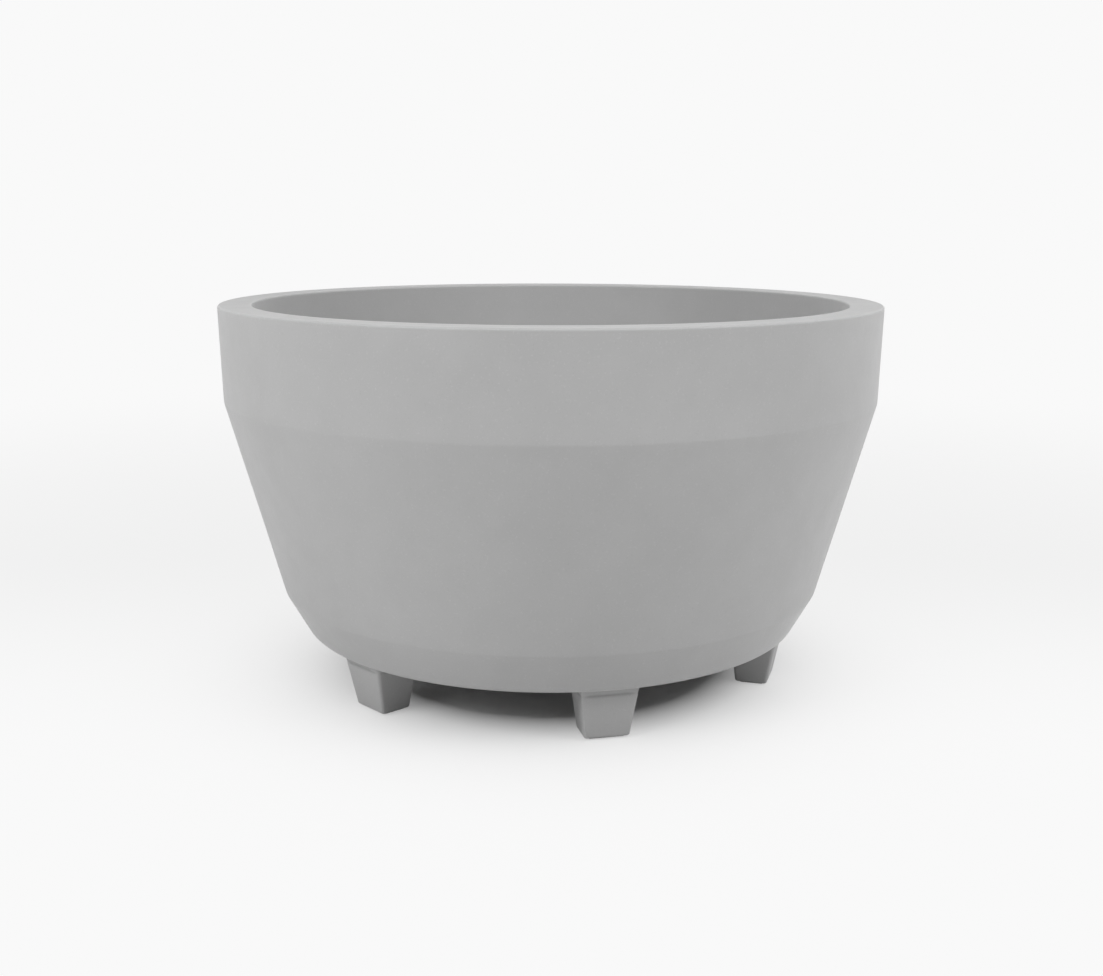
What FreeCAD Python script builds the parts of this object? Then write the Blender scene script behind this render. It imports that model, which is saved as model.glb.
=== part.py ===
"""Footed bowl planter: a double-walled pot on six screwed-on feet, with a drain and its stopper.

Millimetres, +Z up. The origin is on the floor, on the pot's axis. The first foot points to -Y.
"""
import FreeCAD, Part
from FreeCAD import Vector
from math import cos, hypot, radians, sin, tan
import os

# The pot's outside: an upright band, a leaning wall and a steeper heel above the base
pot_height = 345.0
rim_radius = 300.0
rim_width = 30.0
band_height = 84.5
band_draft = 1.4
wall_lean = 15.0
heel_height = 38.5
heel_lean = 29.0
base_height = 46.5

# Roundings of the outside
rim_outer_rounding = 3.5
rim_inner_rounding = 2.0
crease_rounding = 12.0
heel_rounding = 15.0
base_rounding = 10.0

# The two skins, and the tongue under the rim that centres one in the other
skin = 5.0
tub_corner_rounding = 30.0
floor_gap = 17.0
tongue_thickness = 3.0
tongue_height = 8.0

# The drain in the middle of the floor
drain_radius = 15.0
spout_wall = 4.0
spout_drop = 3.0
collar_wall = 4.0
sump_radius = 27.0
sump_depth = 6.0

# The stopper in the drain
stopper_head_radius = 24.0
stopper_head_height = 4.0
stopper_shank_length = 13.0
stopper_taper = 2.0
stopper_wall = 4.0
stopper_head_rounding = 1.5
stopper_tip_rounding = 1.0
stopper_grip_width = 20.0
stopper_grip_height = 14.0
stopper_grip_thickness = 5.0
seal_thickness = 2.0
seal_width = 6.0

# The feet
foot_count = 6
foot_setback = 16.0
foot_depth = 29.0
foot_width = 39.0
foot_outer_draft = 11.0
foot_side_draft = 7.0
foot_edge_rounding = 3.0
foot_sole_rounding = 1.5
spigot_inset = 5.0
spigot_height = 6.0
boss_wall = 4.0

# The foot's pad, screw and insert
pad_thickness = 1.2
pad_inset = 1.5
pad_stem_length = 5.0
screw_radius = 3.0
screw_head_radius = 6.0
screw_head_height = 4.0
screw_key_width = 4.0
screw_key_depth = 2.4
screw_recess_depth = 11.0
insert_radius = 4.5
insert_length = 9.0
screw_end_gap = 1.0

# Clearances: one for parts that slip together, one for pressed and screwed parts, one at the foot's joint
slip_fit = 0.3
close_fit = 0.05
foot_joint_gap = 0.15

AXIS = Vector(0, 0, 1)
CENTRE = Vector(0, 0, 0)

# Heights and radii of the outside that follow from the sizes above
crease_height = pot_height - band_height
knee_height = base_height + heel_height
crease_radius = rim_radius - band_height * tan(radians(band_draft))
knee_radius = crease_radius - (crease_height - knee_height) * tan(radians(wall_lean))
base_radius = knee_radius - heel_height * tan(radians(heel_lean))

# The tub's wall runs parallel to the outside, its floor stands on the shell's bosses
seam_height = pot_height - skin
tub_underside = base_height + skin + floor_gap
tub_floor = tub_underside + skin
sump_floor = tub_floor - sump_depth
sump_underside = sump_floor - skin
spout_radius = drain_radius + spout_wall
spout_end = base_height - spout_drop

# Each foot's own frame has X outward from the pot's axis, and these are the sole's ends on it
foot_outer = base_radius - foot_setback
foot_inner = foot_outer - foot_depth
foot_middle = (foot_outer + foot_inner) / 2
spigot_top = base_height + spigot_height
screw_seat = pad_thickness + screw_recess_depth
insert_top = spigot_top + slip_fit + insert_length


def revolved(corners):
    """Solid turned about Z from a closed outline of (radius, height, rounding) corners."""
    points = [Vector(radius, 0, height) for radius, height, rounding in corners]
    edges = []
    ends = []
    for i, (radius, height, rounding) in enumerate(corners):
        corner = points[i]
        back = (points[i - 1] - corner).normalize()
        ahead = (points[(i + 1) % len(points)] - corner).normalize()
        if rounding == 0:
            ends.append((corner, corner))
            continue
        half = back.getAngle(ahead) / 2
        reach = rounding / tan(half)
        middle = (back + ahead).normalize() * (rounding / sin(half) - rounding)
        first = corner + back * reach
        last = corner + ahead * reach
        edges.append(Part.Arc(first, corner + middle, last).toShape())
        ends.append((first, last))
    for i, (first, last) in enumerate(ends):
        edges.append(Part.LineSegment(ends[i - 1][1], first).toShape())
    wire = Part.Wire(Part.__sortEdges__(edges))
    return Part.Face(wire).revolve(CENTRE, AXIS, 360)


def inset(corners, distance):
    """Corners of an open line of (radius, height) moved sideways, to the left of its direction."""
    lines = []
    for (r0, z0), (r1, z1) in zip(corners, corners[1:]):
        length = hypot(r1 - r0, z1 - z0)
        along = ((r1 - r0) / length, (z1 - z0) / length)
        lines.append((r0 - along[1] * distance, z0 + along[0] * distance, along))
    moved = [lines[0][:2]]
    for (r0, z0, a), (r1, z1, b) in zip(lines, lines[1:]):
        cross = a[0] * b[1] - a[1] * b[0]
        step = ((r1 - r0) * b[1] - (z1 - z0) * b[0]) / cross
        moved.append((r0 + a[0] * step, z0 + a[1] * step))
    length = hypot(corners[-1][0] - corners[-2][0], corners[-1][1] - corners[-2][1])
    r0, z0, along = lines[-1]
    moved.append((r0 + along[0] * length, z0 + along[1] * length))
    return moved


def at_height(lower, upper, height):
    """Radius at a height on the straight line through two (radius, height) points."""
    share = (height - lower[1]) / (upper[1] - lower[1])
    return lower[0] + (upper[0] - lower[0]) * share


def rounded_rectangle(x0, x1, half_width, rounding, height):
    """Wire of a level rectangle with round corners, centred on the X axis."""
    corners = [(x1, half_width), (x0, half_width), (x0, -half_width), (x1, -half_width)]
    points = [Vector(x, y, height) for x, y in corners]
    edges = []
    ends = []
    for i, corner in enumerate(points):
        back = (points[i - 1] - corner).normalize()
        ahead = (points[(i + 1) % 4] - corner).normalize()
        middle = corner + (back + ahead) * (rounding * (1 - cos(radians(45))))
        first = corner + back * rounding
        last = corner + ahead * rounding
        edges.append(Part.Arc(first, middle, last).toShape())
        ends.append((first, last))
    for i, (first, last) in enumerate(ends):
        edges.append(Part.LineSegment(ends[i - 1][1], first).toShape())
    return Part.Wire(Part.__sortEdges__(edges))


def block(x0, x1, half_width, rounding, bottom, top):
    """Upright block with round corners on the X axis."""
    outline = rounded_rectangle(x0, x1, half_width, rounding, bottom)
    return Part.Face(outline).extrude(Vector(0, 0, top - bottom))


def rod(radius, bottom, top, x=0.0):
    """Upright round rod on the X axis."""
    return Part.makeCylinder(radius, top - bottom, Vector(x, 0, bottom), AXIS)


def foot_angle(index):
    """Angle in degrees that turns a foot's own frame to its place under the pot."""
    return -90.0 + index * 360.0 / foot_count


def placed(shape, index):
    """Copy of a shape from a foot's own frame at one of the feet."""
    copy = shape.copy()
    copy.rotate(CENTRE, AXIS, foot_angle(index))
    return copy


# The outside as an open line from the axis to the rim, and the shell's inner face beside it
outside = [(0.0, base_height), (base_radius, base_height), (knee_radius, knee_height),
           (crease_radius, crease_height), (rim_radius, pot_height)]
inside = inset(outside, skin)


def envelope(gap):
    """Everything within the pot's outside, grown by a gap."""
    axis, base, knee, crease, rim = inset(outside, -gap)
    return revolved([(0.0, axis[1], 0), (*base, base_rounding + gap), (*knee, heel_rounding + gap),
                     (*crease, crease_rounding + gap), (*rim, 0), (0.0, rim[1], 0)])


def spigot(gap):
    """Block on top of a foot that keeps it from turning, grown by a gap into its socket."""
    return block(foot_inner + spigot_inset - gap, foot_outer - spigot_inset + gap,
                 foot_width / 2 - spigot_inset + gap, foot_edge_rounding + gap,
                 base_height - skin, spigot_top + gap)


def make_outer_shell():
    """Outer skin with a collar round the drain and a boss over each foot."""
    hole = spout_radius + slip_fit
    top_outer = at_height(outside[3], outside[4], seam_height)
    top_inner = at_height(inside[3], inside[4], seam_height)
    shell = revolved([
        (hole, base_height, 0),
        (base_radius, base_height, base_rounding),
        (knee_radius, knee_height, heel_rounding),
        (crease_radius, crease_height, crease_rounding),
        (top_outer, seam_height, 0),
        (top_inner, seam_height, 0),
        (*inside[3], crease_rounding - skin),
        (*inside[2], heel_rounding - skin),
        (*inside[1], base_rounding - skin),
        (hole + collar_wall, base_height + skin, 0),
        (hole + collar_wall, sump_underside, 0),
        (hole, sump_underside, 0),
    ])
    boss = block(foot_inner + spigot_inset - boss_wall, foot_outer - spigot_inset + boss_wall,
                 foot_width / 2 - spigot_inset + boss_wall, foot_edge_rounding + boss_wall,
                 base_height, tub_underside)
    boss = boss.common(envelope(0.0))
    hollow = spigot(slip_fit).fuse(rod(insert_radius + close_fit, base_height, insert_top, foot_middle))
    for index in range(foot_count):
        shell = shell.fuse(placed(boss, index))
    for index in range(foot_count):
        shell = shell.cut(placed(hollow, index))
    return shell.removeSplitter()


def make_inner_tub():
    """Inner skin with the rim's flange, its centring tongue, the sump and the drain's spout."""
    lean = tan(radians(wall_lean))
    tub_inside = [(crease_radius - rim_width - (crease_height - tub_floor) * lean, tub_floor),
                  (crease_radius - rim_width, crease_height),
                  (rim_radius - rim_width, pot_height)]
    back = inset([(0.0, tub_floor)] + tub_inside, -skin)
    seam_outer = at_height(outside[3], outside[4], seam_height)
    back_top = at_height(back[2], back[3], seam_height)
    tongue_outer = at_height(inside[3], inside[4], seam_height - tongue_height) - slip_fit
    tongue_inner = tongue_outer - tongue_thickness
    return revolved([
        (drain_radius, spout_end, 0),
        (spout_radius, spout_end, 0),
        (spout_radius, sump_underside, 0),
        (sump_radius + skin, sump_underside, 0),
        (sump_radius + skin, tub_underside, 0),
        (*back[1], tub_corner_rounding + skin),
        (*back[2], crease_rounding),
        (back_top, seam_height, 0),
        (tongue_inner, seam_height, 0),
        (tongue_inner, seam_height - tongue_height, 0),
        (tongue_outer, seam_height - tongue_height, 0),
        (tongue_outer, seam_height, 0),
        (seam_outer, seam_height, 0),
        (*outside[4], rim_outer_rounding),
        (*tub_inside[2], rim_inner_rounding),
        (*tub_inside[1], crease_rounding + skin),
        (*tub_inside[0], tub_corner_rounding),
        (sump_radius, tub_floor, 0),
        (sump_radius, sump_floor, 0),
        (drain_radius, sump_floor, 0),
    ])


def make_foot():
    """Drafted block under the pot's rounded edge, with its spigot and the screw's way up."""
    reach = base_height + base_rounding - pad_thickness
    spread = reach * tan(radians(foot_side_draft))
    sole = rounded_rectangle(foot_inner, foot_outer, foot_width / 2, foot_edge_rounding, pad_thickness)
    head = rounded_rectangle(foot_inner - spread, foot_outer + reach * tan(radians(foot_outer_draft)),
                             foot_width / 2 + spread, foot_edge_rounding, pad_thickness + reach)
    body = Part.makeLoft([sole, head], True, True)
    sole_edges = [edge for edge in body.Edges if edge.BoundBox.ZMax < pad_thickness + close_fit]
    body = body.makeFillet(foot_sole_rounding, sole_edges)
    body = body.cut(envelope(foot_joint_gap))
    body = body.fuse(spigot(0.0)).removeSplitter()
    body = body.cut(rod(screw_head_radius + slip_fit, pad_thickness, screw_seat, foot_middle))
    return body.cut(rod(screw_radius + slip_fit, screw_seat, spigot_top, foot_middle))


def make_pad():
    """Soft pad on a foot's sole, with a stem that plugs the screw's recess."""
    margin = foot_sole_rounding + pad_inset
    pad = block(foot_inner + margin, foot_outer - margin, foot_width / 2 - margin,
                foot_edge_rounding, 0.0, pad_thickness)
    stem = rod(screw_head_radius + slip_fit - close_fit, pad_thickness, pad_thickness + pad_stem_length,
               foot_middle)
    return pad.fuse(stem).removeSplitter()


def make_screw():
    """Socket-head screw, head down in the foot."""
    head = rod(screw_head_radius, screw_seat - screw_head_height, screw_seat, foot_middle)
    shank = rod(screw_radius, screw_seat, insert_top - screw_end_gap, foot_middle)
    corner = screw_key_width / 2 / cos(radians(30))
    points = [Vector(foot_middle + corner * cos(radians(60 * k)), corner * sin(radians(60 * k)),
                     screw_seat - screw_head_height) for k in range(7)]
    key = Part.Face(Part.makePolygon(points)).extrude(Vector(0, 0, screw_key_depth))
    return head.fuse(shank).removeSplitter().cut(key)


def make_insert():
    """Threaded bush pressed into a boss above the foot's socket."""
    bush = rod(insert_radius, insert_top - insert_length, insert_top, foot_middle)
    return bush.cut(rod(screw_radius + close_fit, insert_top - insert_length, insert_top, foot_middle))


def make_stopper():
    """Stopper with a tapered, cored shank in the drain and a grip to pull it up by."""
    underside = sump_floor + seal_thickness
    top = underside + stopper_head_height
    shank_radius = drain_radius - slip_fit
    tip_radius = shank_radius - stopper_shank_length * tan(radians(stopper_taper))
    shank_end = sump_floor - stopper_shank_length
    core_radius = tip_radius - stopper_wall
    body = revolved([
        (core_radius, shank_end, 0),
        (tip_radius, shank_end, stopper_tip_rounding),
        (shank_radius, sump_floor, 0),
        (shank_radius, underside, 0),
        (stopper_head_radius, underside, 0),
        (stopper_head_radius, top, stopper_head_rounding),
        (0.0, top, 0),
        (0.0, underside, 0),
        (core_radius, underside, 0),
    ])
    half = stopper_grip_thickness / 2
    grip = Part.makeBox(stopper_grip_width, stopper_grip_thickness, stopper_grip_height + half,
                        Vector(-stopper_grip_width / 2, -half, top - half))
    upright = [edge for edge in grip.Edges
               if edge.BoundBox.ZMin > top and edge.BoundBox.YLength > half]
    grip = grip.makeFillet(stopper_grip_height / 2, upright)
    return body.fuse(grip).removeSplitter()


def make_seal():
    """Flat ring between the stopper's head and the sump's floor."""
    inner = drain_radius + close_fit
    ring = rod(inner + seal_width, sump_floor, sump_floor + seal_thickness)
    return ring.cut(rod(inner, sump_floor, sump_floor + seal_thickness))


def around(shape):
    """One separate solid at each foot, held together as a group."""
    return Part.makeCompound([placed(shape, index) for index in range(foot_count)])


nodes = {
    "outer_shell": make_outer_shell(),
    "inner_tub": make_inner_tub(),
    "foot_screws": around(make_screw()),
    "foot_inserts": around(make_insert()),
    "drain_plug": make_stopper(),
    "plug_seal": make_seal(),
}
foot = make_foot()
pad = make_pad()
for index in range(foot_count):
    nodes["foot_%d" % (index + 1)] = placed(foot, index)
    nodes["foot_pad_%d" % (index + 1)] = placed(pad, index)

os.makedirs("parts", exist_ok=True)
for name, shape in nodes.items():
    shape.exportStep("parts/%s.step" % name)
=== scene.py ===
"""Footed bowl planter in matte grey plastic, standing on a white floor.

Metres, +Z up. The origin is on the floor, on the pot's axis, and the first foot points to -Y.
Every piece is a surface worked out on a grid of points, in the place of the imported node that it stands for.
"""
from math import ceil, cos, pi, radians, sin, tan

import bpy
import numpy as np
from mathutils import Euler, Matrix


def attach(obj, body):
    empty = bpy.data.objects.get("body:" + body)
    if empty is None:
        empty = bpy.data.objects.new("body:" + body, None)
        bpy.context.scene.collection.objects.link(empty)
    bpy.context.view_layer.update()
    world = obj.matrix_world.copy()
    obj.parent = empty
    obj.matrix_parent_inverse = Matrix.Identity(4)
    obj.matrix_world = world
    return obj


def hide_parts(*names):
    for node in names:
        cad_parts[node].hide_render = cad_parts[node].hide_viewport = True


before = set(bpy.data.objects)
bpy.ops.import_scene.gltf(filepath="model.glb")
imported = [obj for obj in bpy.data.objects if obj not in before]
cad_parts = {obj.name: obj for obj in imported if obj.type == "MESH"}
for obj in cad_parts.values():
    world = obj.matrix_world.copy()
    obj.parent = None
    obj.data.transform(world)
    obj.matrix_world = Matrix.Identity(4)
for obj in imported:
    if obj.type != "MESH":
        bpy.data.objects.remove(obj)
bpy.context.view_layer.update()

# The pot's outside: an upright band, a leaning wall and a steeper heel above the base
pot_height = 0.345
rim_radius = 0.300
rim_width = 0.030
band_height = 0.0845
band_draft = radians(1.4)
wall_lean = radians(15.0)
heel_height = 0.0385
heel_lean = radians(29.0)
base_height = 0.0465

# Roundings of the outside
rim_outer_rounding = 0.002
rim_inner_rounding = 0.002
crease_rounding = 0.012
heel_rounding = 0.015
base_rounding = 0.010

# The two skins, and the tongue under the rim that centres one in the other
skin = 0.005
tub_corner_rounding = 0.030
floor_gap = 0.017
tongue_thickness = 0.003
tongue_height = 0.008
small_rounding = 0.0006
sump_rounding = 0.0015

# The drain in the middle of the floor, and its stopper
drain_radius = 0.015
spout_wall = 0.004
spout_drop = 0.003
collar_wall = 0.004
sump_radius = 0.027
sump_depth = 0.006
stopper_head_radius = 0.024
stopper_head_height = 0.004
stopper_shank_length = 0.013
stopper_taper = radians(2.0)
stopper_wall = 0.004
stopper_head_rounding = 0.0015
stopper_tip_rounding = 0.001
grip_width = 0.020
grip_height = 0.014
grip_thickness = 0.005
grip_edge_rounding = 0.0012
grip_root_rounding = 0.0015
seal_thickness = 0.002
seal_width = 0.006
seal_rounding = 0.0005

# The feet
foot_count = 6
foot_setback = 0.016
foot_depth = 0.029
foot_width = 0.039
foot_outer_draft = radians(11.0)
foot_side_draft = radians(7.0)
foot_edge_rounding = 0.003
foot_sole_rounding = 0.0015
spigot_inset = 0.005
spigot_height = 0.006

# The foot's pad, screw and insert
pad_thickness = 0.0012
pad_inset = 0.0015
pad_rounding = 0.0004
pad_stem_length = 0.005
screw_radius = 0.003
screw_pitch = 0.001
thread_depth = 0.0006
thread_steepness = 1.3
plain_shank_length = 0.008
screw_head_radius = 0.006
screw_head_height = 0.004
screw_head_rounding = 0.0005
screw_key_width = 0.004
screw_key_depth = 0.0024
key_middle_share = 0.3
key_floor_share = 0.96
screw_recess_depth = 0.011
insert_radius = 0.0045
insert_length = 0.009
knurl_depth = 0.0003
knurl_count = 24
screw_end_gap = 0.001

# Clearances
slip_fit = 0.0003
close_fit = 0.00005
foot_joint_gap = 0.00015

# How finely the surfaces are divided
columns_round_pot = 288
columns_round_drain = 96
columns_round_screw = 36
columns_round_insert = 120
columns_round_floor = 96
run_step = 0.008
fine_step = 0.001
arc_step = radians(7.0)
guard_step = 0.0005
ring_arc_steps = 6
ring_side_steps = 10
sole_rounding_rows = 6
foot_wall_rows = 15
foot_top_rows = 18
foot_top_from = 0.8
saddle_rows = 6
foot_inner_rows = 4
pad_rows = 3
rows_per_pitch = 8
grip_corner_rows = 12
grip_side_rows = 8
floor_rings = 40
halvings = 40
sharp_angle = radians(40.0)

# The mould's slow unevenness, which starts above the feet, as waves of (share, lobes, drift, start)
uneven_depth = 0.00012
uneven_from = 0.090
uneven_full = 0.150
uneven_waves = [(1.0, 3, 9.0, 0.4), (0.6, 7, -14.0, 1.9), (0.4, 13, 23.0, 4.1)]

# How far the rubbing reaches from an edge
rubbed_reach = 0.004

# The faint line round a foot, a shallow groove a little under the foot's top, darkened by painted shade
foot_line_drop = 0.0054
foot_line_reach = 0.0013
foot_line_depth = 0.0004

# The camera, at the photograph's viewing angle
camera_azimuth = radians(-12.84)
camera_distance = 1.2358
camera_height = 0.4257
camera_pitch = radians(11.788)
camera_lens = 43.246
camera_sensor = 36.0
camera_side = 0.0009
camera_roll = radians(0.12)

# Linear tones of the pot's plastic, and how much of the patches, specks, wear and painted shade shows
dark_cloud_tone = 0.437
pale_cloud_tone = 0.467
patch_tone = 0.425
patch_share = 0.35
pale_speck_tone = 0.62
pale_speck_share = 0.18
dark_speck_tone = 0.28
dark_speck_share = 0.15
worn_tone = 0.58
worn_share = 0.08
painted_shade_tone = 0.20
painted_shade_share = 0.45
plastic_sheen = 0.48
plastic_sheen_roughness = 0.35

# Linear tones of the stopper's plastic and of the rubber, whose bloom is paler
dark_stopper_tone = 0.085
pale_stopper_tone = 0.115
pad_tone = 0.02
seal_tone = 0.03
bloom_gain = 1.8

# Linear colours of the metals
zinc_dark = (0.50, 0.50, 0.49, 1.0)
zinc_bright = (0.66, 0.66, 0.64, 1.0)
brass_dark = (0.60, 0.42, 0.17, 1.0)
brass_bright = (0.72, 0.53, 0.24, 1.0)

# Least and greatest roughness of the finishes
plastic_roughness = (0.52, 0.66)
rubber_roughness = (0.62, 0.8)
stopper_roughness = (0.42, 0.55)
zinc_roughness = (0.3, 0.45)
brass_roughness = (0.25, 0.4)

# Most of a noise lies between these two values
noise_low = 0.3
noise_high = 0.7

# Places of the colour sockets on a mix node: share, first and second, and the result
mix_inputs = (0, 6, 7)
mix_result = 2

# The floor lies a hair under the pads; its colour is darker under the pot than in the open, as painted shade
floor_drop = 0.0003
floor_radius = 12.0
floor_painted_shade_tone = 0.63
floor_open = 0.81
open_radius = 0.36
floor_roughness = 0.9
floor_shine = 0.1

# The floor's shadow fades into the background's white with distance from the pot
near_fade_from = 0.158
near_fade_reach = 0.070
near_fade_reaches = 9
far_fade_from = 0.6
far_fade_full = 1.3
background_white = 0.947

# Painted shade: the background's white dims a little behind the pot, and clears again with distance from it
dim_from = -0.25
dim_full = 0.42
dim_cleared = 2.2
dim_white = 0.872

# The light of the white room: from behind and above, and from three softboxes
back_light = 0.84
back_elevation = radians(40.0)
softbox_distance = 2.5
softbox_size = 1.2

# Name, azimuth, elevation and power of each softbox
softboxes = [
    ("left_softbox", radians(-64.0), radians(32.0), 29.5),
    ("right_softbox", radians(50.0), radians(40.0), 30.0),
    ("front_softbox", radians(-13.0), radians(58.0), 8.2),
]

# Heights and radii that follow from the sizes above
crease_height = pot_height - band_height
knee_height = base_height + heel_height
crease_radius = rim_radius - band_height * tan(band_draft)
knee_radius = crease_radius - (crease_height - knee_height) * tan(wall_lean)
base_radius = knee_radius - heel_height * tan(heel_lean)
seam_height = pot_height - skin
tub_underside = base_height + skin + floor_gap
tub_floor = tub_underside + skin
sump_floor = tub_floor - sump_depth
sump_underside = sump_floor - skin
spout_radius = drain_radius + spout_wall
spout_end = base_height - spout_drop
collar_hole = spout_radius + slip_fit
foot_outer = base_radius - foot_setback
foot_inner = foot_outer - foot_depth
foot_middle = (foot_outer + foot_inner) / 2
spigot_top = base_height + spigot_height
screw_seat = pad_thickness + screw_recess_depth
insert_low = spigot_top + slip_fit
insert_top = insert_low + insert_length
screw_end = insert_top - screw_end_gap


def unit(vector):
    """The vector divided by its length."""
    return vector / np.linalg.norm(vector)


def smooth_step(low, high, value):
    """0 below low, 1 above high, and the cubic 3t^2 - 2t^3 between them."""
    share = np.clip((value - low) / (high - low), 0.0, 1.0)
    return share * share * (3.0 - 2.0 * share)


def inset(corners, distance):
    """Corners of an open line moved to its left: each side shifts, and neighbours meet again."""
    corners = np.array(corners)
    heading = np.diff(corners, axis=0)
    heading = heading / np.linalg.norm(heading, axis=1)[:, None]
    left = np.stack([-heading[:, 1], heading[:, 0]], axis=1)
    starts = corners[:-1] + left * distance
    offset = np.diff(starts, axis=0)
    cross = heading[:-1, 0] * heading[1:, 1] - heading[:-1, 1] * heading[1:, 0]
    step = (offset[:, 0] * heading[1:, 1] - offset[:, 1] * heading[1:, 0]) / cross
    middle = starts[:-1] + heading[:-1] * step[:, None]
    return np.vstack([starts[:1], middle, corners[-1:] + left[-1:] * distance])


def at_height(lower, upper, height):
    """Radius at a height on the straight line through two (radius, height) points."""
    return lower[0] + (upper[0] - lower[0]) * (height - lower[1]) / (upper[1] - lower[1])


def corner_arc(before, corner, after, rounding):
    """Arc that touches both sides of a corner: its spoke turns evenly between the touching points."""
    if rounding == 0.0:
        return corner[None, :]
    back = unit(before - corner)
    ahead = unit(after - corner)
    half = np.arccos(np.clip(back @ ahead, -1.0, 1.0)) / 2
    centre = corner + unit(back + ahead) * rounding / sin(half)
    first = unit(corner + back * rounding / tan(half) - centre)
    last = unit(corner + ahead * rounding / tan(half) - centre)
    turn = pi - 2 * half
    share = np.linspace(0.0, 1.0, max(3, ceil(turn / arc_step)) + 1)[:, None]
    spoke = (np.sin((1 - share) * turn) * first + np.sin(share * turn) * last) / sin(turn)
    return centre + rounding * spoke


def straight_run(start, end, step):
    """Points between two ends in even steps, with one close to each end to keep the shading straight."""
    length = np.linalg.norm(end - start)
    if length < 4 * guard_step:
        return np.empty((0, 2))
    share = np.linspace(0.0, 1.0, max(1, ceil(length / step)) + 1)
    share[0] = guard_step / length
    share[-1] = 1.0 - guard_step / length
    return start + share[:, None] * (end - start)


def outline(corners, step):
    """Closed line through (across, up, rounding) corners: an arc at each corner and straight runs between."""
    places = np.array([corner[:2] for corner in corners])
    following = np.roll(places, -1, axis=0)
    arcs = [corner_arc(places[i - 1], places[i], following[i], corners[i][2]) for i in range(len(corners))]
    parts = []
    for arc, following_arc in zip(arcs, arcs[1:] + arcs[:1]):
        parts += [arc, straight_run(arc[-1], following_arc[0], step)]
    return np.concatenate(parts)


def off_axis(line):
    """The points of a line that don't lie on the axis, so that its two ends can be closed by caps."""
    return line[line[:, 0] > guard_step / 2]


def mould_unevenness(angle, height):
    """Radial waves of a large moulding: sines of the angle that drift with height, none near the feet."""
    waves = sum(share * np.sin(lobes * angle + drift * height + start)
                for share, lobes, drift, start in uneven_waves)
    return uneven_depth * waves * smooth_step(uneven_from, uneven_full, height)


def turned(line, columns, unevenness=None):
    """Grid of a line turned about Z: (r cos a, r sin a, z) for even steps of the angle a."""
    angle = np.linspace(0.0, 2 * pi, columns, endpoint=False)
    height = line[:, None, 1] + 0 * angle
    radius = line[:, None, 0] + 0 * angle
    if unevenness is not None:
        radius = radius + unevenness(angle, height)
    return np.stack([radius * np.cos(angle), radius * np.sin(angle), height], axis=-1)


def nearness(places, edges):
    """1 at the nearest edge point and falling off as exp(-(d / reach)^2) with the distance d from it."""
    gap = np.linalg.norm(places[..., None, :] - np.array(edges), axis=-1).min(axis=-1)
    return np.exp(-(gap / rubbed_reach) ** 2)


def skin_over(grid, wear_and_painted_shade, capped):
    """Points, their wear and painted shade, and faces over a grid whose rows are closed rings.

    Each cell is a quad between two neighbouring rings. The last ring joins the first again, or, where the
    skin is capped, each end ring is closed by a fan of triangles to its middle. Faces that enclose a negative
    volume are turned round, so that they all point outwards.
    """
    rows, columns = grid.shape[:2]
    points = grid.reshape(-1, 3)
    wear_and_painted_shade = np.broadcast_to(wear_and_painted_shade, (rows, columns)).reshape(-1)
    ring = np.arange(rows * columns).reshape(rows, columns)
    beside = np.roll(ring, -1, axis=1)
    quads = np.stack([ring, beside, np.roll(beside, -1, axis=0), np.roll(ring, -1, axis=0)], axis=-1)
    fans = np.empty((0, 3), int)
    if capped:
        quads = quads[:-1]
        first_middle = np.full(columns, len(points))
        fans = np.concatenate([np.stack([beside[0], ring[0], first_middle], axis=-1),
                               np.stack([ring[-1], beside[-1], first_middle + 1], axis=-1)])
        points = np.vstack([points, grid[0].mean(axis=0), grid[-1].mean(axis=0)])
        wear_and_painted_shade = np.append(wear_and_painted_shade, [0.0, 0.0])
    quads = quads.reshape(-1, 4)
    halves = np.concatenate([quads[:, [0, 1, 2]], quads[:, [0, 2, 3]], fans])
    a, b, c = points[halves].transpose(1, 0, 2)
    if (a * np.cross(b, c)).sum() < 0.0:
        quads = quads[:, ::-1]
        fans = fans[:, ::-1]
    return points, wear_and_painted_shade, quads, fans


def make_piece(name, skins, node, body, material):
    """One object from one or more skins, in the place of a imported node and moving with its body."""
    points, wear_and_painted_shade, quads, fans = zip(*skins)
    starts = np.cumsum([0] + [len(skin_points) for skin_points in points])
    faces = []
    for start, skin_quads, skin_fans in zip(starts, quads, fans):
        faces += (skin_quads + start).tolist() + (skin_fans + start).tolist()
    mesh = bpy.data.meshes.new(name)
    mesh.from_pydata(np.concatenate(points).tolist(), [], faces)
    attribute = mesh.attributes.new("wear_and_painted_shade", "FLOAT", "POINT")
    attribute.data.foreach_set("value", np.concatenate(wear_and_painted_shade).astype(np.float32))
    mesh.shade_smooth()
    mesh.set_sharp_from_angle(angle=sharp_angle)
    mesh.materials.append(material)
    piece = bpy.data.objects.new(name, mesh)
    bpy.context.scene.collection.objects.link(piece)
    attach(piece, body)
    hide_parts(node)


# The outside as an open line from the axis to the rim, and the shell's inner face beside it
outside = np.array([(0.0, base_height), (base_radius, base_height), (knee_radius, knee_height),
                    (crease_radius, crease_height), (rim_radius, pot_height)])
inside = inset(outside, skin)


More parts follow.
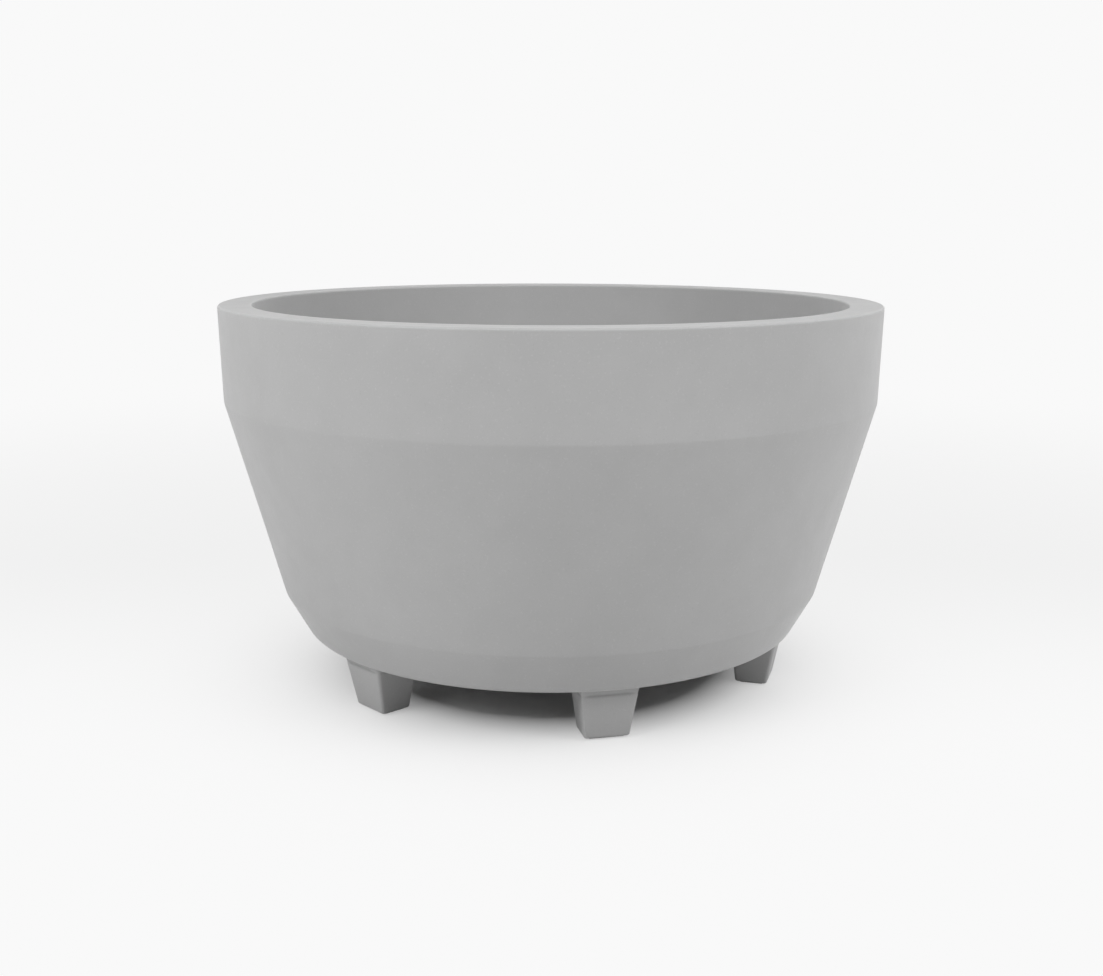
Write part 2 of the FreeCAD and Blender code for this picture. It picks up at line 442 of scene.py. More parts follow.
def outer_shell_skin():
    """The shell's closed outline, with a collar round the drain, turned about Z."""
    top_outer = at_height(outside[3], outside[4], seam_height)
    top_inner = at_height(inside[3], inside[4], seam_height)
    line = outline([
        (collar_hole, base_height, small_rounding),
        (base_radius, base_height, base_rounding),
        (knee_radius, knee_height, heel_rounding),
        (crease_radius, crease_height, crease_rounding),
        (top_outer, seam_height, 0.0),
        (top_inner, seam_height, 0.0),
        (*inside[3], crease_rounding - skin),
        (*inside[2], heel_rounding - skin),
        (*inside[1], base_rounding - skin),
        (collar_hole + collar_wall, base_height + skin, small_rounding),
        (collar_hole + collar_wall, sump_underside, small_rounding),
        (collar_hole, sump_underside, small_rounding),
    ], run_step)
    return skin_over(turned(line, columns_round_pot, mould_unevenness), 0.0, capped=False)


def inner_tub_skin():
    """The tub's outline, from the spout up its back, over the rim and down its inside, turned about Z."""
    tub_inside = np.array([
        (crease_radius - rim_width - (crease_height - tub_floor) * tan(wall_lean), tub_floor),
        (crease_radius - rim_width, crease_height),
        (rim_radius - rim_width, pot_height),
    ])
    back = inset(np.vstack([(0.0, tub_floor), tub_inside]), -skin)
    seam_outer = at_height(outside[3], outside[4], seam_height)
    back_top = at_height(back[2], back[3], seam_height)
    tongue_outer = at_height(inside[3], inside[4], seam_height - tongue_height) - slip_fit
    tongue_inner = tongue_outer - tongue_thickness
    line = outline([
        (drain_radius, spout_end, small_rounding),
        (spout_radius, spout_end, small_rounding),
        (spout_radius, sump_underside, 0.0),
        (sump_radius + skin, sump_underside, sump_rounding),
        (sump_radius + skin, tub_underside, 0.0),
        (*back[1], tub_corner_rounding + skin),
        (*back[2], crease_rounding),
        (back_top, seam_height, 0.0),
        (tongue_inner, seam_height, 0.0),
        (tongue_inner, seam_height - tongue_height, small_rounding),
        (tongue_outer, seam_height - tongue_height, small_rounding),
        (tongue_outer, seam_height, 0.0),
        (seam_outer, seam_height, 0.0),
        (*outside[4], rim_outer_rounding),
        (*tub_inside[2], rim_inner_rounding),
        (*tub_inside[1], crease_rounding + skin),
        (*tub_inside[0], tub_corner_rounding),
        (sump_radius, tub_floor, sump_rounding),
        (sump_radius, sump_floor, sump_rounding),
        (drain_radius, sump_floor, small_rounding),
    ], run_step)
    wear_and_painted_shade = nearness(line, [outside[4], tub_inside[2]])[:, None]
    return skin_over(turned(line, columns_round_pot, mould_unevenness), wear_and_painted_shade, capped=False)


def pot_underside(radius):
    """Height of the pot's outside at a radius r, less the foot's joint gap.

    It is flat as far as the centre of the base's rounding, at the radius c. Further out it is the centre's
    height less sqrt(R^2 - (r - c)^2), where R is the rounding and the gap.
    """
    reach = base_rounding * tan((pi / 2 - heel_lean) / 2)
    centre_radius = base_radius - reach
    outer = base_rounding + foot_joint_gap
    over = np.clip(radius - centre_radius, 0.0, outer * cos(heel_lean))
    return base_height + base_rounding - np.sqrt(outer ** 2 - over ** 2)


def rounded_ring(low, high, half_width, rounding):
    """Level rectangle with round corners on the X axis, from low to high on it, and its outward directions.

    Four quarter circles, each followed by the straight side to the next corner in even steps.
    """
    corner_x = np.array([high - rounding, low + rounding, low + rounding, high - rounding])
    corner_y = np.array([1.0, 1.0, -1.0, -1.0]) * (half_width - rounding)
    centres = np.stack([corner_x, corner_y], axis=-1)[:, None, :]
    angle = np.arange(4)[:, None] * pi / 2 + np.linspace(0.0, pi / 2, ring_arc_steps + 1)
    spokes = np.stack([np.cos(angle), np.sin(angle)], axis=-1)
    arcs = centres + rounding * spokes
    share = np.linspace(0.0, 1.0, ring_side_steps + 1)[1:-1, None]
    sides = arcs[:, -1:] * (1 - share) + np.roll(arcs[:, :1], -1, axis=0) * share
    side_spokes = np.repeat(spokes[:, -1:], len(share), axis=1)
    places = np.concatenate([arcs, sides], axis=1).reshape(-1, 2)
    outward = np.concatenate([spokes, side_spokes], axis=1).reshape(-1, 2)
    return places, outward


def level(places, height):
    """Points over (x, y) places at a height or heights."""
    return np.concatenate([places, np.broadcast_to(height, places.shape[:-1])[..., None]], axis=-1)


def between(first, last, rows):
    """Rings in even steps from a first to a last ring, without the last."""
    share = np.linspace(0.0, 1.0, rows, endpoint=False)[:, None, None]
    return first * (1 - share) + last * share


def through(rings, rows):
    """Rings in even steps from each of some rings to the next, without the last."""
    return np.concatenate([between(first, last, rows) for first, last in zip(rings, rings[1:])])


def round_screw(ring, radius):
    """Circle about the screw's axis, with a point on the way to each point of a ring."""
    spoke = ring - (foot_middle, 0.0)
    return spoke / np.linalg.norm(spoke, axis=1)[:, None] * radius + (foot_middle, 0.0)


def about_screw(radius, angle, height):
    """Points at radii, angles and heights about the screw's axis, in the foot's own frame."""
    return np.stack([foot_middle + radius * np.cos(angle), radius * np.sin(angle), height], axis=-1)


def at_foot(points, index):
    """Points turned from a foot's own frame, with X outward, to its place under the pot."""
    angle = -pi / 2 + index * 2 * pi / foot_count
    x, y, z = np.moveaxis(points, -1, 0)
    return np.stack([x * cos(angle) - y * sin(angle), x * sin(angle) + y * cos(angle), z], axis=-1)


def wall_tops(sole, lean):
    """Rise from the sole to the pot's underside on each leaning line of a foot's wall, found by halving."""
    low = np.zeros(len(sole))
    high = np.full(len(sole), base_height + base_rounding - pad_thickness)
    for _ in range(halvings):
        middle = (low + high) / 2
        place = sole + lean * middle[:, None]
        under = pad_thickness + middle < pot_underside(np.hypot(*place.T))
        low = np.where(under, middle, low)
        high = np.where(under, high, middle)
    return low


def foot_walls(sole, outward):
    """Rings of a foot's wall from its sole up, and how worn each point is, or how deep in painted shade if
    less than 0.

    The sole's outline grows with height by two drafts, so each point of the wall moves on a straight line.
    A quarter circle rounds the sole's edge. The line round the foot goes in by its depth times
    exp(-(d / reach)^2), where d is the height above or below its middle, and takes painted shade by the same
    share.
    """
    reach = base_height + base_rounding - pad_thickness
    spread = reach * tan(foot_side_draft)
    head = rounded_ring(foot_inner - spread, foot_outer + reach * tan(foot_outer_draft),
                        foot_width / 2 + spread, foot_edge_rounding)[0]
    lean = (head - sole) / reach
    top_rise = wall_tops(sole, lean)
    turn = np.linspace(0.0, pi / 2, sole_rounding_rows)[:, None]
    rounding_rise = np.broadcast_to(foot_sole_rounding * (1 - np.cos(turn)), (len(turn), len(sole)))
    wall_share = np.concatenate([np.linspace(0.0, foot_top_from, foot_wall_rows + 1)[1:],
                                 np.linspace(foot_top_from, 1.0, foot_top_rows + 1)[1:]])[:, None]
    wall_rise = foot_sole_rounding + (top_rise - foot_sole_rounding) * wall_share
    rise = np.concatenate([rounding_rise, wall_rise])
    line = np.exp(-((top_rise - foot_line_drop - rise) / foot_line_reach) ** 2)
    back = foot_line_depth * line
    back[:len(turn)] += foot_sole_rounding * (1 - np.sin(turn))
    walls = sole + lean * rise[..., None] - outward * back[..., None]

    corners = np.arange(4) * (len(sole) // 4) + ring_arc_steps // 2
    gap = np.linalg.norm(walls[:, :, None] - walls[:, None, corners], axis=-1).min(axis=-1)
    # Wear at the foot's corners and sole, less painted shade along the line round the foot
    wear_and_painted_shade = np.exp(-(np.minimum(gap, rise) / rubbed_reach) ** 2) - line
    return level(walls, pad_thickness + rise), wear_and_painted_shade


def foot_grid():
    """Rings of a foot in its own frame, and how worn each point is, or how deep in painted shade.

    From the wall's top the rings run in along the pot's underside to the spigot, up and over it, down the
    screw's hole and recess, and out along the sole. The outward directions are the same on every ring.
    """
    sole, outward = rounded_ring(foot_inner, foot_outer, foot_width / 2, foot_edge_rounding)
    walls, wall_wear_and_painted_shade = foot_walls(sole, outward)
    spigot = rounded_ring(foot_inner + spigot_inset, foot_outer - spigot_inset,
                          foot_width / 2 - spigot_inset, foot_edge_rounding)[0]
    saddle = between(walls[-1, :, :2], spigot, saddle_rows)[1:]
    saddle = level(saddle, pot_underside(np.linalg.norm(saddle, axis=-1)))
    hole = round_screw(sole, screw_radius + slip_fit)
    recess = round_screw(sole, screw_head_radius + slip_fit)
    rings = [
        level(spigot, pot_underside(np.zeros(len(spigot)))),
        level(spigot, spigot_top - small_rounding),
        level(spigot - outward * small_rounding, spigot_top),
        level(hole, spigot_top),
        level(hole, screw_seat),
        level(recess, screw_seat),
        level(recess, pad_thickness),
        walls[0],
    ]
    grid = np.concatenate([walls, saddle, through(rings, foot_inner_rows)])
    wear_and_painted_shade = np.zeros(grid.shape[:2])
    wear_and_painted_shade[:len(walls)] = wall_wear_and_painted_shade
    return grid, wear_and_painted_shade


def pad_grid():
    """Rings of a pad in the foot's own frame: from its underside round its edges and top, and up its stem."""
    margin = foot_sole_rounding + pad_inset
    edge, outward = rounded_ring(foot_inner + margin, foot_outer - margin, foot_width / 2 - margin,
                                 foot_edge_rounding)
    stem_radius = screw_head_radius + slip_fit - close_fit
    stem = round_screw(edge, stem_radius)
    stem_edge = round_screw(edge, stem_radius - pad_rounding)
    stem_top = pad_thickness + pad_stem_length
    inner_edge = edge - outward * pad_rounding
    softened = edge - outward * pad_rounding * (1 - sin(pi / 4))
    dip = pad_rounding * (1 - cos(pi / 4))
    rings = [
        level(stem, 0.0),
        level(inner_edge, 0.0),
        level(softened, dip),
        level(edge, pad_rounding),
        level(edge, pad_thickness - pad_rounding),
        level(softened, pad_thickness - dip),
        level(inner_edge, pad_thickness),
        level(stem, pad_thickness),
        level(stem, stem_top - pad_rounding),
        level(stem_edge, stem_top),
    ]
    return np.concatenate([through(rings, pad_rows), rings[-1:]])


def screw_grid():
    """Rings of a socket-head screw in the foot's own frame, from the key's floor to the shank's end.

    The key's ring is a hexagon, r = a / cos(b) with b the angle from the nearest flat's middle. The thread is
    a triangle wave of the phase z / pitch - angle / 2 pi, taken off the shank's radius with flat crests.
    """
    angle = np.linspace(0.0, 2 * pi, columns_round_screw, endpoint=False)
    flat = np.mod(angle + pi / 6, pi / 3) - pi / 6
    hexagon = screw_key_width / 2 / np.cos(flat)
    low = screw_seat - screw_head_height
    head_line = outline([
        (0.0, low, 0.0),
        (screw_head_radius, low, screw_head_rounding),
        (screw_head_radius, screw_seat, screw_head_rounding),
        (0.0, screw_seat, 0.0),
    ], fine_step)
    outer = head_line[(head_line[:, 0] > screw_key_width) | (head_line[:, 1] > screw_seat - close_fit)]
    outer = outer[outer[:, 0] > screw_radius]
    key_floor = low + screw_key_depth
    key_radius = np.stack([hexagon * key_middle_share, hexagon * key_floor_share, hexagon, hexagon])
    key_height = np.array([key_floor, key_floor, key_floor - close_fit, low])
    head_radius = np.concatenate([key_radius, outer[:, :1] + 0 * angle])
    head_height = np.concatenate([key_height, outer[:, 1]])[:, None] + 0 * angle

    height = np.arange(screw_seat, screw_end, screw_pitch / rows_per_pitch)[:, None] + 0 * angle
    phase = np.mod((height / screw_pitch) - angle / (2 * pi), 1.0)
    groove = np.clip(0.5 + thread_steepness * (0.5 - np.abs(2 * phase - 1)), 0.0, 1.0)
    thread_start = screw_seat + plain_shank_length
    started = smooth_step(thread_start, thread_start + screw_pitch, height)
    ended = 1.0 - smooth_step(screw_end - screw_pitch, screw_end, height)
    shank_radius = screw_radius - thread_depth * np.maximum(groove * started, 1.0 - ended)
    radius = np.concatenate([head_radius, shank_radius])
    return about_screw(radius, angle, np.concatenate([head_height, height]))


def insert_grid():
    """Rings of a threaded bush in the foot's own frame: a plain bore, and two knurled bands beside a groove.

    The knurl takes a triangle wave of the angle off the radius, and the groove takes as much all round.
    """
    angle = np.linspace(0.0, 2 * pi, columns_round_insert, endpoint=False)
    line = outline([
        (screw_radius + close_fit, insert_low, small_rounding / 2),
        (insert_radius, insert_low, small_rounding),
        (insert_radius, insert_top, small_rounding),
        (screw_radius + close_fit, insert_top, small_rounding / 2),
    ], fine_step / 2)
    radius = line[:, :1] + 0 * angle
    height = line[:, 1:] + 0 * angle
    ridge = 2 * np.abs(np.mod(angle * knurl_count / (2 * pi), 1.0) - 0.5)
    groove = np.abs(height - insert_low - insert_length / 2) < fine_step
    outer = radius > insert_radius - small_rounding / 4
    radius = radius - knurl_depth * outer * np.maximum(ridge, groove)
    return about_screw(radius, angle, height)


def stopper_body_skin():
    """The stopper's head and tapered, cored shank: an open outline from axis to axis, turned about Z."""
    underside = sump_floor + seal_thickness
    top = underside + stopper_head_height
    shank_radius = drain_radius - slip_fit
    shank_end = sump_floor - stopper_shank_length
    tip_radius = shank_radius - stopper_shank_length * tan(stopper_taper)
    core_radius = tip_radius - stopper_wall
    line = off_axis(outline([
        (0.0, top, 0.0),
        (stopper_head_radius, top, stopper_head_rounding),
        (stopper_head_radius, underside, small_rounding),
        (shank_radius, underside, small_rounding),
        (tip_radius, shank_end, stopper_tip_rounding),
        (core_radius, shank_end, small_rounding),
        (core_radius, underside, small_rounding),
        (0.0, underside, 0.0),
    ], fine_step))
    return skin_over(turned(line, columns_round_drain), 0.0, capped=True)


def stopper_grip_skin():
    """The stopper's upright grip: level rings whose width and thickness follow its rounded outline.

    The half width is straight up to the corner's height and then follows a quarter circle. Both half sizes
    shrink by the edge rounding's quarter circle at the top, and grow by the root's at the head.
    """
    top = sump_floor + seal_thickness + stopper_head_height
    corner = grip_height / 2
    turn = np.linspace(0.0, pi / 2, grip_corner_rows)
    rise = np.concatenate([
        [-grip_root_rounding],
        grip_root_rounding * (1 - np.cos(turn[::-1][:-1])),
        np.linspace(grip_root_rounding, corner, grip_side_rows),
        corner + corner * np.sin(turn[1:]),
    ])
    root_curve = np.sqrt(np.clip(2 * grip_root_rounding * rise - rise ** 2, 0.0, None))
    flare = np.where(rise < grip_root_rounding, grip_root_rounding - root_curve, 0.0)
    past = np.clip(rise - corner, 0.0, corner)
    half_width = grip_width / 2 - corner + np.sqrt(corner ** 2 - past ** 2) + flare
    depth = np.clip(rise - (grip_height - grip_edge_rounding), 0.0, grip_edge_rounding)
    thin = grip_edge_rounding - np.sqrt(grip_edge_rounding ** 2 - depth ** 2)
    half_thickness = grip_thickness / 2 + flare - thin
    rings = [rounded_ring(-width, width, thickness, min(thickness, grip_edge_rounding))[0]
             for width, thickness in zip(half_width, half_thickness)]
    grid = level(np.array(rings), (top + rise)[:, None])
    return skin_over(grid, 0.0, capped=True)


def seal_skin():
    """Flat ring with rounded edges, turned about Z."""
    inner = drain_radius + close_fit
    line = outline([
        (inner, sump_floor, seal_rounding),
        (inner + seal_width, sump_floor, seal_rounding),
        (inner + seal_width, sump_floor + seal_thickness, seal_rounding),
        (inner, sump_floor + seal_thickness, seal_rounding),
    ], fine_step)
    return skin_over(turned(line, columns_round_drain), 0.0, capped=False)


def feed(tree, socket, value):
    """Links another node's output to a socket, or sets a value on it."""
    if isinstance(value, bpy.types.NodeSocket):
        tree.links.new(value, socket)
    else:
        socket.default_value = value


def add_node(tree, kind, **inputs):
    """A shader node, with a value or another node's output on each named input."""
    node = tree.nodes.new("ShaderNode" + kind)
    for name, value in inputs.items():
        feed(tree, node.inputs[name.replace("_", " ")], value)
    return node


def noise(tree, places, scale, detail):
    """Fractal noise around 0.5, in cells of 1 / scale metres."""
    return add_node(tree, "TexNoise", Vector=places, Scale=scale, Detail=detail).outputs["Fac"]


def ranged(tree, value, low, high, to_low, to_high, interpolation="LINEAR"):
    """A value's range from low to high, stretched onto another range and held at its ends."""
    node = add_node(tree, "MapRange", Value=value, From_Min=low, From_Max=high, To_Min=to_low, To_Max=to_high)
    node.interpolation_type = interpolation
    return node.outputs["Result"]


def smoothed(tree, value, low, high, to_low, to_high):
    """As ranged, but with a soft start and a soft end."""
    return ranged(tree, value, low, high, to_low, to_high, "SMOOTHSTEP")


def spread_over(tree, value, to_low, to_high):
    """A noise's usual range, stretched onto another range."""
    return ranged(tree, value, noise_low, noise_high, to_low, to_high)


def calculated(tree, operation, *values):
    """The result of an operation on one or two node outputs."""
    node = add_node(tree, "Math")
    node.operation = operation
    for place, value in enumerate(values):
        feed(tree, node.inputs[place], value)
    return node.outputs["Value"]


def mixed(tree, share, first, second):
    """A colour between two others by a share."""
    node = add_node(tree, "Mix")
    node.data_type = "RGBA"
    for place, value in zip(mix_inputs, (share, first, second)):
        feed(tree, node.inputs[place], value)
    return node.outputs[mix_result]


def blended(tree, share, first, second):
    """A shader between two others by a share."""
    node = add_node(tree, "MixShader", Fac=share)
    feed(tree, node.inputs[1], first)
    feed(tree, node.inputs[2], second)
    return node.outputs["Shader"]


def along(tree, places, direction):
    """How far places lie along a direction: the dot product of the two."""
    node = add_node(tree, "VectorMath", Vector=places)
    node.operation = "DOT_PRODUCT"
    node.inputs[1].default_value = direction
    return node.outputs["Value"]


def grey(value):
    """A neutral colour of one linear value."""
    return (value, value, value, 1.0)


def new_finish(name):
    """A material with one Principled shader, and the object's own coordinates."""
    finish = bpy.data.materials.new(name)
    finish.use_nodes = True
    tree = finish.node_tree
    tree.nodes.clear()
    shader = add_node(tree, "BsdfPrincipled")
    add_node(tree, "OutputMaterial", Surface=shader.outputs["BSDF"])
    places = add_node(tree, "TexCoord").outputs["Object"]
    return finish, tree, shader, places


def lumpy(tree, height, strength, distance, normal=None):
    """A bump from a height, on top of another bump where one is given."""
    node = add_node(tree, "Bump", Height=height, Strength=strength, Distance=distance)
    if normal is not None:
        feed(tree, node.inputs["Normal"], normal)
    return node.outputs["Normal"]


def dress(tree, shader, colour, roughness, normal):
    """Links a colour, a roughness and a bumped normal to the shader."""
    feed(tree, shader.inputs["Base Color"], colour)
    feed(tree, shader.inputs["Roughness"], roughness)
    feed(tree, shader.inputs["Normal"], normal)


def stone_grey_plastic():
    """Matte grey plastic with stone powder in it: slow clouds, pale and dark specks, a fine grained skin.

    Rubbed edges are paler in patches, and painted shade darkens the line round each foot.
    """
    finish, tree, shader, places = new_finish("stone_grey_plastic")
    clouds = noise(tree, places, scale=6.0, detail=4.0)
    patches = noise(tree, places, scale=34.0, detail=4.0)
    pale_specks = noise(tree, places, scale=560.0, detail=1.0)
    dark_specks = noise(tree, places, scale=710.0, detail=1.0)
    grain = noise(tree, places, scale=1500.0, detail=2.0)
    swell = noise(tree, places, scale=150.0, detail=2.0)
    colour = mixed(tree, spread_over(tree, clouds, 0.0, 1.0), grey(dark_cloud_tone), grey(pale_cloud_tone))
    patchy = ranged(tree, patches, 0.35, 0.7, 0.0, patch_share)
    colour = mixed(tree, patchy, colour, grey(patch_tone))
    paler = ranged(tree, pale_specks, 0.64, 0.72, 0.0, pale_speck_share)
    colour = mixed(tree, paler, colour, grey(pale_speck_tone))
    darker = ranged(tree, dark_specks, 0.66, 0.74, 0.0, dark_speck_share)
    colour = mixed(tree, darker, colour, grey(dark_speck_tone))
    attribute = add_node(tree, "Attribute")
    attribute.attribute_name = "wear_and_painted_shade"
    wear_and_painted_shade = attribute.outputs["Fac"]
    worn = calculated(tree, "MULTIPLY", ranged(tree, wear_and_painted_shade, 0.0, 1.0, 0.0, 1.0),
                      ranged(tree, patches, 0.4, 0.65, 0.0, worn_share))
    colour = mixed(tree, worn, colour, grey(worn_tone))
    # Painted shade where the value is below 0, along the line round each foot
    painted_shade = ranged(tree, wear_and_painted_shade, -1.0, 0.0, painted_shade_share, 0.0)
    colour = mixed(tree, painted_shade, colour, grey(painted_shade_tone))
    normal = lumpy(tree, swell, strength=0.12, distance=0.001)
    normal = lumpy(tree, grain, strength=0.25, distance=0.0002, normal=normal)
    dress(tree, shader, colour, spread_over(tree, patches, *plastic_roughness), normal)
    shader.inputs["Sheen Weight"].default_value = plastic_sheen
    shader.inputs["Sheen Roughness"].default_value = plastic_sheen_roughness
    return finish


def dull_rubber(name, tone):
    """Dull rubber with a fine pebbled skin and a grey bloom in patches."""
    finish, tree, shader, places = new_finish(name)
    bloom = noise(tree, places, scale=90.0, detail=4.0)
    pebbles = noise(tree, places, scale=1300.0, detail=1.0)
    colour = mixed(tree, ranged(tree, bloom, 0.4, 0.7, 0.0, 1.0), grey(tone), grey(tone * bloom_gain))
    normal = lumpy(tree, pebbles, strength=0.3, distance=0.0002)
    dress(tree, shader, colour, spread_over(tree, bloom, *rubber_roughness), normal)
    return finish


def dark_grey_plastic():
    """Moulded dark grey plastic with a fine spark-eroded grain."""
    finish, tree, shader, places = new_finish("dark_grey_plastic")
    clouds = noise(tree, places, scale=60.0, detail=3.0)
    grain = noise(tree, places, scale=1800.0, detail=2.0)
    paler = spread_over(tree, clouds, 0.0, 1.0)
    colour = mixed(tree, paler, grey(dark_stopper_tone), grey(pale_stopper_tone))
    normal = lumpy(tree, grain, strength=0.3, distance=0.0002)
    dress(tree, shader, colour, spread_over(tree, clouds, *stopper_roughness), normal)
    return finish


def plated_metal(name, dark, bright, roughness):
    """Plated or turned metal: a slow change of tone, and fine turning marks that run with the height."""
    finish, tree, shader, places = new_finish(name)
    stretched = add_node(tree, "Mapping", Vector=places, Scale=(200.0, 200.0, 6000.0)).outputs["Vector"]
    tone = noise(tree, places, scale=400.0, detail=3.0)
    marks = noise(tree, stretched, scale=1.0, detail=1.0)
    colour = mixed(tree, spread_over(tree, tone, 0.0, 1.0), dark, bright)
    normal = lumpy(tree, marks, strength=0.2, distance=0.00005)
    dress(tree, shader, colour, spread_over(tree, tone, *roughness), normal)
    shader.inputs["Metallic"].default_value = 1.0
    return finish


def seen_directly(tree):
    """1 for rays from the camera, and for those that it follows by reflection or through something clear."""
    path = add_node(tree, "LightPath").outputs
    followed = calculated(tree, "MAXIMUM", path["Is Glossy Ray"], path["Is Transmission Ray"])
    return calculated(tree, "MAXIMUM", path["Is Camera Ray"], followed)


def make_floor():
    """Level disc about the axis, in rings whose radii grow with the square of their number."""
    radius = np.linspace(0.0, 1.0, floor_rings)[1:] ** 2 * floor_radius
    grid = turned(np.stack([radius, np.full(len(radius), -floor_drop)], axis=1), columns_round_floor)
    rows, columns = grid.shape[:2]
    ring = np.arange(rows * columns).reshape(rows, columns)
    beside = np.roll(ring, -1, axis=1)
    quads = np.stack([ring[:-1], ring[1:], beside[1:], beside[:-1]], axis=-1).reshape(-1, 4)
    middle = np.stack([ring[0], beside[0], np.full(columns, rows * columns)], axis=-1)
    points = np.vstack([grid.reshape(-1, 3), (0.0, 0.0, -floor_drop)])
    mesh = bpy.data.meshes.new("floor")
    mesh.from_pydata(points.tolist(), [], quads.tolist() + middle.tolist())
    mesh.materials.append(floor_finish())
    floor = bpy.data.objects.new("floor", mesh)
    bpy.context.scene.collection.objects.link(floor)


def background_share(tree, distance):
    """How much of the background's white shows on the floor at a distance from the axis.

    To the camera it is 1 - exp(-n), where n is the distance past a circle under the pot, counted in reaches
    up to a last one, so that the shadow fades out. Further off it is all white, also to rays that the camera
    follows by reflection.
    """
    reaches = ranged(tree, distance, near_fade_from, near_fade_from + near_fade_reaches * near_fade_reach,
                     0.0, -near_fade_reaches)
    near = ranged(tree, calculated(tree, "EXPONENT", reaches), 0.0, 1.0, 1.0, 0.0)
    far = smoothed(tree, distance, far_fade_from, far_fade_full, 0.0, 1.0)
    near_shown = calculated(tree, "MULTIPLY", near, add_node(tree, "LightPath").outputs["Is Camera Ray"])
    far_shown = calculated(tree, "MULTIPLY", far, seen_directly(tree))
    return calculated(tree, "MAXIMUM", near_shown, far_shown)


def floor_white(tree, places, distance):
    """The background's white, a little dimmer behind the pot, as painted shade."""
    behind = along(tree, places, (-sin(camera_azimuth), cos(camera_azimuth), 0.0))
    dims = smoothed(tree, behind, dim_from, dim_full, 0.0, 1.0)
    clears = smoothed(tree, distance, dim_full, dim_cleared, 1.0, 0.0)
    dimmed = calculated(tree, "MULTIPLY", dims, clears)
    return mixed(tree, dimmed, grey(background_white), grey(dim_white))


def floor_finish():
    """Matte white near the pot, with painted shade under it, the background's white further out, and nothing
    from below.
    """
    finish, tree, shader, places = new_finish("white_floor")
    shader.inputs["Roughness"].default_value = floor_roughness
    shader.inputs["Specular IOR Level"].default_value = floor_shine
    length = add_node(tree, "VectorMath", Vector=places)
    length.operation = "LENGTH"
    distance = length.outputs["Value"]
    # Painted shade: the floor's colour darkens towards the axis, under the pot
    in_the_open = ranged(tree, distance, near_fade_from, open_radius, 0.0, 1.0)
    colour = mixed(tree, in_the_open, grey(floor_painted_shade_tone), grey(floor_open))
    tree.links.new(colour, shader.inputs["Base Color"])
    white = add_node(tree, "Emission", Color=floor_white(tree, places, distance), Strength=1.0)
    above = blended(tree, background_share(tree, distance), shader.outputs["BSDF"], white.outputs["Emission"])
    from_below = add_node(tree, "NewGeometry").outputs["Backfacing"]
    both = blended(tree, from_below, above, add_node(tree, "BsdfTransparent").outputs["BSDF"])
    surface = next(node for node in tree.nodes if node.type == "OUTPUT_MATERIAL").inputs["Surface"]
    tree.links.new(both, surface)
    return finish


def make_world():
    """White light from behind and above, and a white background for what the camera sees.

    The light from a direction d is the larger of 0 and the dot product of d and the way up behind the pot.
    """
    world = bpy.data.worlds.new("white_room")
    bpy.context.scene.world = world
    world.use_nodes = True
    tree = world.node_tree
    tree.nodes.clear()
    up_behind = (-sin(camera_azimuth) * cos(back_elevation), cos(camera_azimuth) * cos(back_elevation),
                 sin(back_elevation))
    facing = along(tree, add_node(tree, "TexCoord").outputs["Generated"], up_behind)
    strength = ranged(tree, facing, 0.0, 1.0, 0.0, back_light)
    light = add_node(tree, "Background", Color=grey(1.0), Strength=strength).outputs["Background"]
    seen = add_node(tree, "Background", Color=grey(background_white), Strength=1.0).outputs["Background"]
    add_node(tree, "OutputWorld", Surface=blended(tree, seen_directly(tree), light, seen))


def make_softbox(name, azimuth, elevation, power):
    """Square area lamp that faces the pot's middle from an azimuth and an elevation."""
    lamp = bpy.data.lights.new(name, "AREA")
    lamp.shape = "SQUARE"
    lamp.size = softbox_size
    lamp.energy = power
    holder = bpy.data.objects.new(name, lamp)
    level_distance = softbox_distance * cos(elevation)
    holder.location = (level_distance * sin(azimuth), -level_distance * cos(azimuth),
                       pot_height / 2 + softbox_distance * sin(elevation))
    holder.rotation_euler = (pi / 2 - elevation, 0.0, azimuth)
    bpy.context.scene.collection.objects.link(holder)


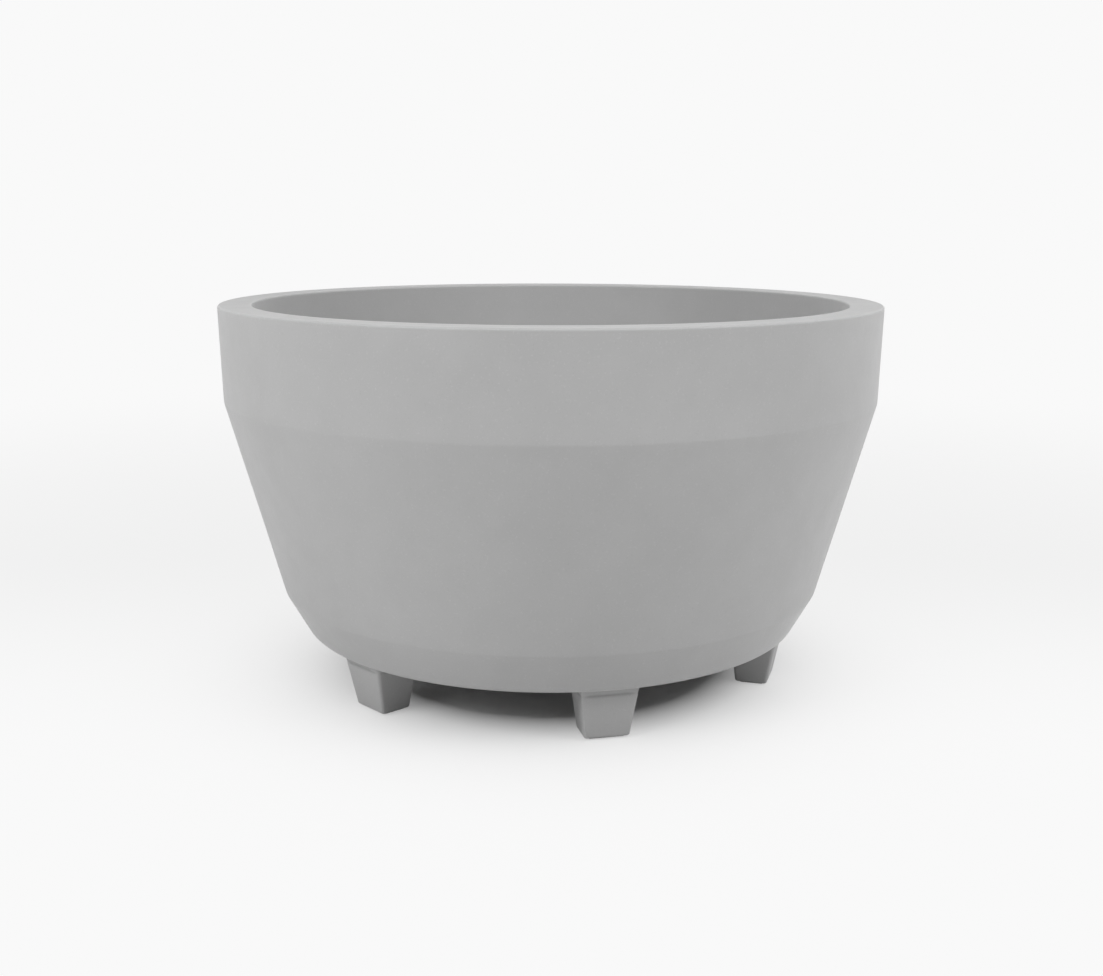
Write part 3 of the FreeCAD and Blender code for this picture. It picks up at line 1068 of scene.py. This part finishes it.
def make_camera():
    """Camera at the photograph's viewing angle, looking down at the pot from the front."""
    lens = bpy.data.cameras.new("camera")
    lens.sensor_fit = "HORIZONTAL"
    lens.sensor_width = camera_sensor
    lens.lens = camera_lens
    camera = bpy.data.objects.new("camera", lens)
    camera.location = (
        camera_distance * sin(camera_azimuth) + camera_side * cos(camera_azimuth),
        -camera_distance * cos(camera_azimuth) + camera_side * sin(camera_azimuth),
        camera_height,
    )
    level_aim = Euler((pi / 2 - camera_pitch, 0.0, camera_azimuth)).to_matrix()
    camera.rotation_euler = (level_aim @ Matrix.Rotation(camera_roll, 3, "Z")).to_euler()
    bpy.context.scene.collection.objects.link(camera)
    bpy.context.scene.camera = camera


plastic = stone_grey_plastic()
pad_rubber = dull_rubber("pad_rubber", pad_tone)
seal_rubber = dull_rubber("seal_rubber", seal_tone)
stopper_plastic = dark_grey_plastic()
zinc = plated_metal("zinc_plated_steel", zinc_dark, zinc_bright, zinc_roughness)
brass = plated_metal("brass", brass_dark, brass_bright, brass_roughness)

make_piece("pot_outside", [outer_shell_skin()], "outer_shell", "pot", plastic)
make_piece("pot_inside_and_rim", [inner_tub_skin()], "inner_tub", "pot", plastic)
foot_places, foot_wear_and_painted_shade = foot_grid()
pad_places = pad_grid()
for index in range(foot_count):
    foot_skin = skin_over(at_foot(foot_places, index), foot_wear_and_painted_shade, capped=False)
    pad_skin = skin_over(at_foot(pad_places, index), 0.0, capped=True)
    number = index + 1
    make_piece(f"foot_block_{number}", [foot_skin], f"foot_{number}", "pot", plastic)
    make_piece(f"foot_sole_pad_{number}", [pad_skin], f"foot_pad_{number}", "pot", pad_rubber)
screw_skins = [skin_over(at_foot(screw_grid(), index), 0.0, capped=True) for index in range(foot_count)]
make_piece("foot_fixing_screws", screw_skins, "foot_screws", "pot", zinc)
insert_skins = [skin_over(at_foot(insert_grid(), index), 0.0, capped=False) for index in range(foot_count)]
make_piece("foot_threaded_bushes", insert_skins, "foot_inserts", "pot", brass)
make_piece("drain_stopper", [stopper_body_skin(), stopper_grip_skin()], "drain_plug", "plug",
           stopper_plastic)
make_piece("stopper_seal", [seal_skin()], "plug_seal", "plug", seal_rubber)

make_floor()
make_world()
for softbox in softboxes:
    make_softbox(*softbox)
make_camera()
bpy.context.scene.view_settings.view_transform = "Standard"
